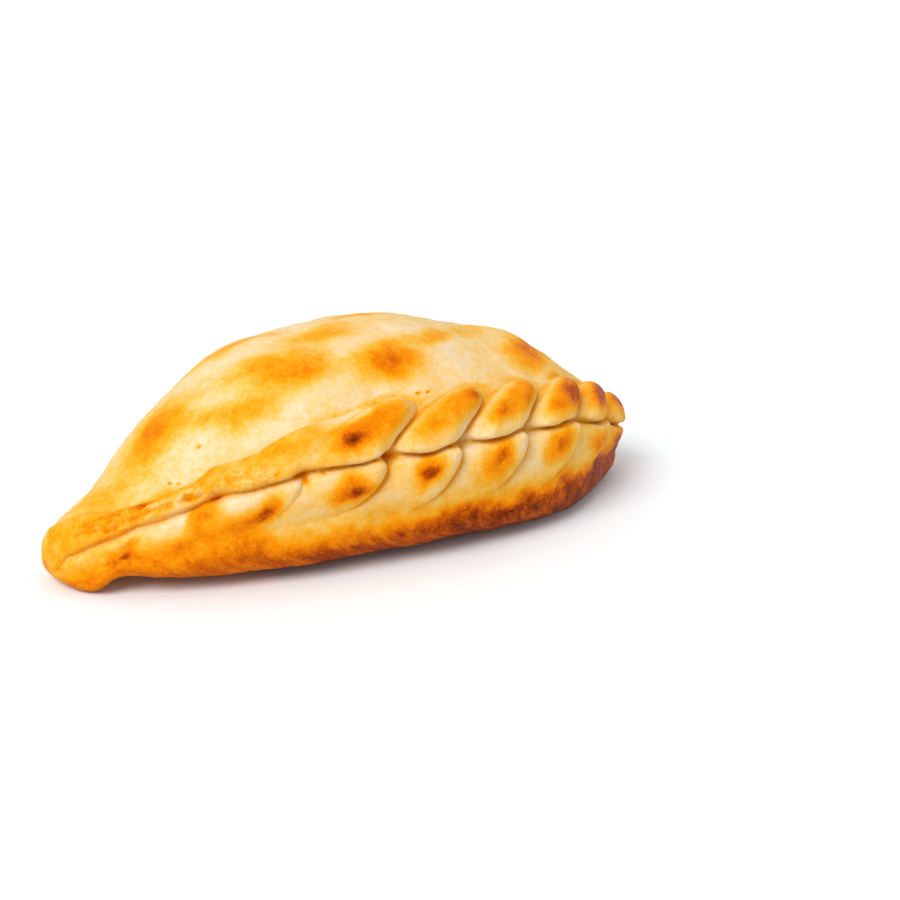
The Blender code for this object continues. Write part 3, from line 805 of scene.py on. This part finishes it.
by_cleft = bell(up, *WRINKLED_UP) * faded_at_tips(along, seam_length, WRINKLED_FADES)
wrinkled = np.clip(WRINKLED_STRIP * crumple + WRINKLED_BY_CLEFT * by_cleft, 0, 1)
crust_mesh = closed_grid_mesh("empanada_crust", crust_points)
add_layer(crust_mesh, "browning", browning)
add_layer(crust_mesh, "wrinkled", wrinkled)
crust = bpy.data.objects.new("empanada_crust", crust_mesh)
bpy.context.scene.collection.objects.link(crust)


def linear(hex_colour):
    """An sRGB hex colour as linear red, green, blue and full opacity, by the sRGB curve."""
    channels = [int(hex_colour[k : k + 2], 16) / 255 for k in (0, 2, 4)]
    return tuple(c / 12.92 if c <= 0.04045 else ((c + 0.055) / 1.055) ** 2.4 for c in channels) + (1.0,)


def node(tree, kind, settings, links):
    """Adds a node of that kind, sets its properties and sockets, and links its inputs from other sockets."""
    made = tree.nodes.new(kind)
    for name, value in settings.items():
        if isinstance(name, str) and hasattr(made, name):
            setattr(made, name, value)
        else:
            made.inputs[name].default_value = value
    for name, source in links.items():
        tree.links.new(source, made.inputs[name])
    return made


# Oven-baked wheat dough: pale and chalky where it stayed cool, gold then orange-brown where it stood proud,
# nearly burnt at the hottest cores. Dry and soft to the eye, with a faint sheen where fat came out.
BAKED_TONES = (
    (0.00, "e0c9a6"),
    (0.12, "e1bd7e"),
    (0.24, "e5b04e"),
    (0.34, "e3a12c"),
    (0.44, "e8950a"),
    (0.55, "e38200"),
    (0.67, "d26c00"),
    (0.80, "b04a00"),
    (0.91, "863200"),
    (1.00, "5c2000"),
)
GRAIN_MM = 0.9  # size of the mottled grain
FINE_MM = 0.42  # size of the dry flakes
FLECK_MM = 1.1  # spacing of the small blisters
CURL_MM = 2.2  # size of the swirls that the creases follow
SCATTER_MM = 0.9  # how deep light goes into the dough
GRAIN_SWING = 0.26  # how much tone the grain adds and takes away
FLAKE_FROM = (0.60, 0.70)  # the fine noise is a flake above these
BLISTER_DOT = (0.10, 0.30)  # distances from a dot's middle over which a blister ends
CREASE_WIDTH = 0.09  # difference from the swirl's middle value at which a crease ends
CREASE_SHADE = 0.15  # how much darker its middle is, painted shade in the crease
FLAKES_ON_BROWN = (0.22, 0.50)  # browning over which flakes start to show
FLAKES_LIGHTER = 0.15
FLAKES_STAND = 3.0  # how much they stand out, beside the grain
BUMP_MM = 0.2  # height of the grain, the flakes and the creases
FINE_BUMP_MM = 0.08

dough = bpy.data.materials.new("oven_baked_wheat_dough")
dough.use_nodes = True
tree = dough.node_tree
shader = tree.nodes["Principled BSDF"]
shader.inputs["IOR"].default_value = 1.45
shader.inputs["Specular IOR Level"].default_value = 0.04
shader.inputs["Subsurface Weight"].default_value = 0.2
shader.inputs["Subsurface Radius"].default_value = (1.0, 0.55, 0.25)
shader.inputs["Subsurface Scale"].default_value = SCATTER_MM * MM
place = node(tree, "ShaderNodeTexCoord", {}, {}).outputs["Object"]
baked = node(tree, "ShaderNodeAttribute", {"attribute_name": "browning"}, {}).outputs["Fac"]
wrinkled_where = node(tree, "ShaderNodeAttribute", {"attribute_name": "wrinkled"}, {}).outputs["Fac"]

# A mottled grain over the browning.
grain_scale = {"Scale": 1 / (GRAIN_MM * MM), "Detail": 3.0, "Roughness": 0.6}
mottle = node(tree, "ShaderNodeTexNoise", grain_scale, {"Vector": place}).outputs["Fac"]
about_zero = {"operation": "MULTIPLY_ADD", 1: GRAIN_SWING, 2: -GRAIN_SWING / 2}
swing = node(tree, "ShaderNodeMath", about_zero, {0: mottle}).outputs["Value"]
mottled = node(tree, "ShaderNodeMath", {"operation": "ADD"}, {0: baked, 1: swing}).outputs["Value"]

# Dry flakes and blisters, lighter than the browned crust they stand on.
fine_scale = {"Scale": 1 / (FINE_MM * MM), "Detail": 1.0, "Roughness": 0.5}
fine = node(tree, "ShaderNodeTexNoise", fine_scale, {"Vector": place}).outputs["Fac"]
dot_scale = {"Scale": 1 / (FLECK_MM * MM), "Randomness": 1.0}
dots = node(tree, "ShaderNodeTexVoronoi", dot_scale, {"Vector": place}).outputs["Distance"]
flake_range = {"From Min": FLAKE_FROM[0], "From Max": FLAKE_FROM[1], "To Min": 0.0, "To Max": 1.0}
flake = node(tree, "ShaderNodeMapRange", flake_range, {"Value": fine}).outputs["Result"]
dot_range = {"From Min": BLISTER_DOT[0], "From Max": BLISTER_DOT[1], "To Min": 0.6, "To Max": 0.0}
blister_dot = node(tree, "ShaderNodeMapRange", dot_range, {"Value": dots}).outputs["Result"]
fleck = node(tree, "ShaderNodeMath", {"operation": "MAXIMUM"}, {0: flake, 1: blister_dot}).outputs["Value"]
brown_range = {
    "From Min": FLAKES_ON_BROWN[0],
    "From Max": FLAKES_ON_BROWN[1],
    "To Min": 0.0,
    "To Max": FLAKES_LIGHTER,
}
on_brown = node(tree, "ShaderNodeMapRange", brown_range, {"Value": baked}).outputs["Result"]
lighter = node(tree, "ShaderNodeMath", {"operation": "MULTIPLY"}, {0: fleck, 1: on_brown}).outputs["Value"]
flecked = node(tree, "ShaderNodeMath", {"operation": "SUBTRACT"}, {0: mottled, 1: lighter}).outputs["Value"]

# Thin creases in the wrinkled dough: where a swirling noise crosses its middle value. Painted shade darkens
# their middle.
swirl_scale = {"Scale": 1 / (CURL_MM * MM), "Detail": 2.0, "Distortion": 1.2}
swirl = node(tree, "ShaderNodeTexNoise", swirl_scale, {"Vector": place}).outputs["Fac"]
from_middle = node(tree, "ShaderNodeMath", {"operation": "SUBTRACT", 1: 0.5}, {0: swirl}).outputs["Value"]
from_crossing = node(tree, "ShaderNodeMath", {"operation": "ABSOLUTE"}, {0: from_middle}).outputs["Value"]
crease_range = {"From Min": 0.0, "From Max": CREASE_WIDTH, "To Min": 1.0, "To Max": 0.0}
crease = node(tree, "ShaderNodeMapRange", crease_range, {"Value": from_crossing}).outputs["Result"]
product = {"operation": "MULTIPLY"}
creased = node(tree, "ShaderNodeMath", product, {0: crease, 1: wrinkled_where}).outputs["Value"]
darker = {"operation": "MULTIPLY_ADD", 1: CREASE_SHADE}
tone = node(tree, "ShaderNodeMath", darker, {0: creased, 2: flecked}).outputs["Value"]

# The tone picks the colour, and a browner crust has a little more of the sheen.
ramp = node(tree, "ShaderNodeValToRGB", {}, {"Fac": tone})
stops = ramp.color_ramp.elements
while len(stops) < len(BAKED_TONES):
    stops.new(0.5)
for stop, (position, colour) in zip(stops, BAKED_TONES):
    stop.position = position
    stop.color = linear(colour)
tree.links.new(ramp.outputs["Color"], shader.inputs["Base Color"])
sheen_range = {"From Min": 0.1, "From Max": 0.8, "To Min": 0.62, "To Max": 0.40}
sheen_of_fat = node(tree, "ShaderNodeMapRange", sheen_range, {"Value": tone}).outputs["Result"]
tree.links.new(sheen_of_fat, shader.inputs["Roughness"])

# Fine relief: the grain with its flakes, the creases, and a finer grain on top.
standing = {"operation": "MULTIPLY_ADD", 1: FLAKES_STAND}
surface = node(tree, "ShaderNodeMath", standing, {0: lighter, 2: mottle}).outputs["Value"]
coarse = {"Strength": 0.6, "Distance": BUMP_MM * MM}
coarse_bump = node(tree, "ShaderNodeBump", coarse, {"Height": surface}).outputs["Normal"]
sunk = {"Strength": 0.5, "Distance": BUMP_MM * MM, "invert": True}
over_coarse = {"Height": creased, "Normal": coarse_bump}
crease_bump = node(tree, "ShaderNodeBump", sunk, over_coarse).outputs["Normal"]
finest = {"Strength": 0.4, "Distance": FINE_BUMP_MM * MM}
over_creases = {"Height": fine, "Normal": crease_bump}
fine_bump = node(tree, "ShaderNodeBump", finest, over_creases).outputs["Normal"]
tree.links.new(fine_bump, shader.inputs["Normal"])
crust_mesh.materials.append(dough)
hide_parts("empanada")
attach(crust, "root")


# The tabletop under the empanada is matt white board, wide enough to fill the view. It is there for the
# light and the shadow, and isn't part of the empanada.
TABLE_HALF = 5.0  # metres
TABLE_WHITE = "e9eef0"

table_mesh = bpy.data.meshes.new("tabletop")
table_corners = [(TABLE_HALF * x, TABLE_HALF * y, 0) for x, y in ((-1, -1), (1, -1), (1, 1), (-1, 1))]
table_mesh.from_pydata(table_corners, [], [(0, 1, 2, 3)])
tabletop = bpy.data.objects.new("tabletop", table_mesh)
bpy.context.scene.collection.objects.link(tabletop)
board = bpy.data.materials.new("matt_white_board")
board.use_nodes = True
board_shader = board.node_tree.nodes["Principled BSDF"]
board_shader.inputs["Base Color"].default_value = linear(TABLE_WHITE)
board_shader.inputs["Roughness"].default_value = 0.9
board_shader.inputs["Specular IOR Level"].default_value = 0.2
table_mesh.materials.append(board)


# Studio light: a white tent all round, and one large softbox above and to the left of the crimp, so that the
# right ends of the folds are shaded.
TENT_STRENGTH = 0.78
SOFTBOX_FROM = (-0.80, -0.40, 0.85)
SOFTBOX_STRENGTH = 2.3
SOFTBOX_SPREAD = np.radians(34)

world = bpy.data.worlds.new("white_tent")
bpy.context.scene.world = world
world.use_nodes = True
tent = world.node_tree.nodes["Background"]
tent.inputs["Color"].default_value = (1.0, 1.0, 1.0, 1.0)
tent.inputs["Strength"].default_value = TENT_STRENGTH
light = bpy.data.lights.new("softbox", "SUN")
light.energy = SOFTBOX_STRENGTH
light.angle = SOFTBOX_SPREAD
softbox = bpy.data.objects.new("softbox", light)
softbox.rotation_euler = (-Vector(SOFTBOX_FROM)).to_track_quat("-Z", "Y").to_euler()
bpy.context.scene.collection.objects.link(softbox)
bpy.context.scene.view_settings.view_transform = "Standard"


# The camera stands 19 degrees above the table and 34 degrees round towards the drooping tip, with a long
# lens. It is moved aside and up without turning, so that the origin falls on its pixel in the photograph.
AZIMUTH = np.radians(-34)
ELEVATION = np.radians(19)
DISTANCE = 0.470  # metres from the empanada's origin
LENS_MM = 90.0
SENSOR_MM = 36.0
NEAREST = 0.01  # metres, where the view starts
FRAME_PIXELS = 900
ORIGIN_PIXEL = (348.0, 520.0)

metres_per_pixel = DISTANCE * SENSOR_MM / LENS_MM / FRAME_PIXELS
aside = (ORIGIN_PIXEL[0] - FRAME_PIXELS / 2) * metres_per_pixel
above = (FRAME_PIXELS / 2 - ORIGIN_PIXEL[1]) * metres_per_pixel
level = np.cos(ELEVATION)
backward = Vector((np.sin(AZIMUTH) * level, -np.cos(AZIMUTH) * level, np.sin(ELEVATION)))
rightward = Vector((np.cos(AZIMUTH), np.sin(AZIMUTH), 0))
upward = backward.cross(rightward)
camera_data = bpy.data.cameras.new("camera")
camera_data.lens = LENS_MM
camera_data.sensor_width = SENSOR_MM
camera_data.clip_start = NEAREST
camera = bpy.data.objects.new("camera", camera_data)
camera_place = backward * DISTANCE - rightward * aside - upward * above
camera_axes = Matrix((rightward, upward, backward)).transposed().to_4x4()
camera.matrix_world = Matrix.Translation(camera_place) @ camera_axes
bpy.context.scene.collection.objects.link(camera)
bpy.context.scene.camera = camera
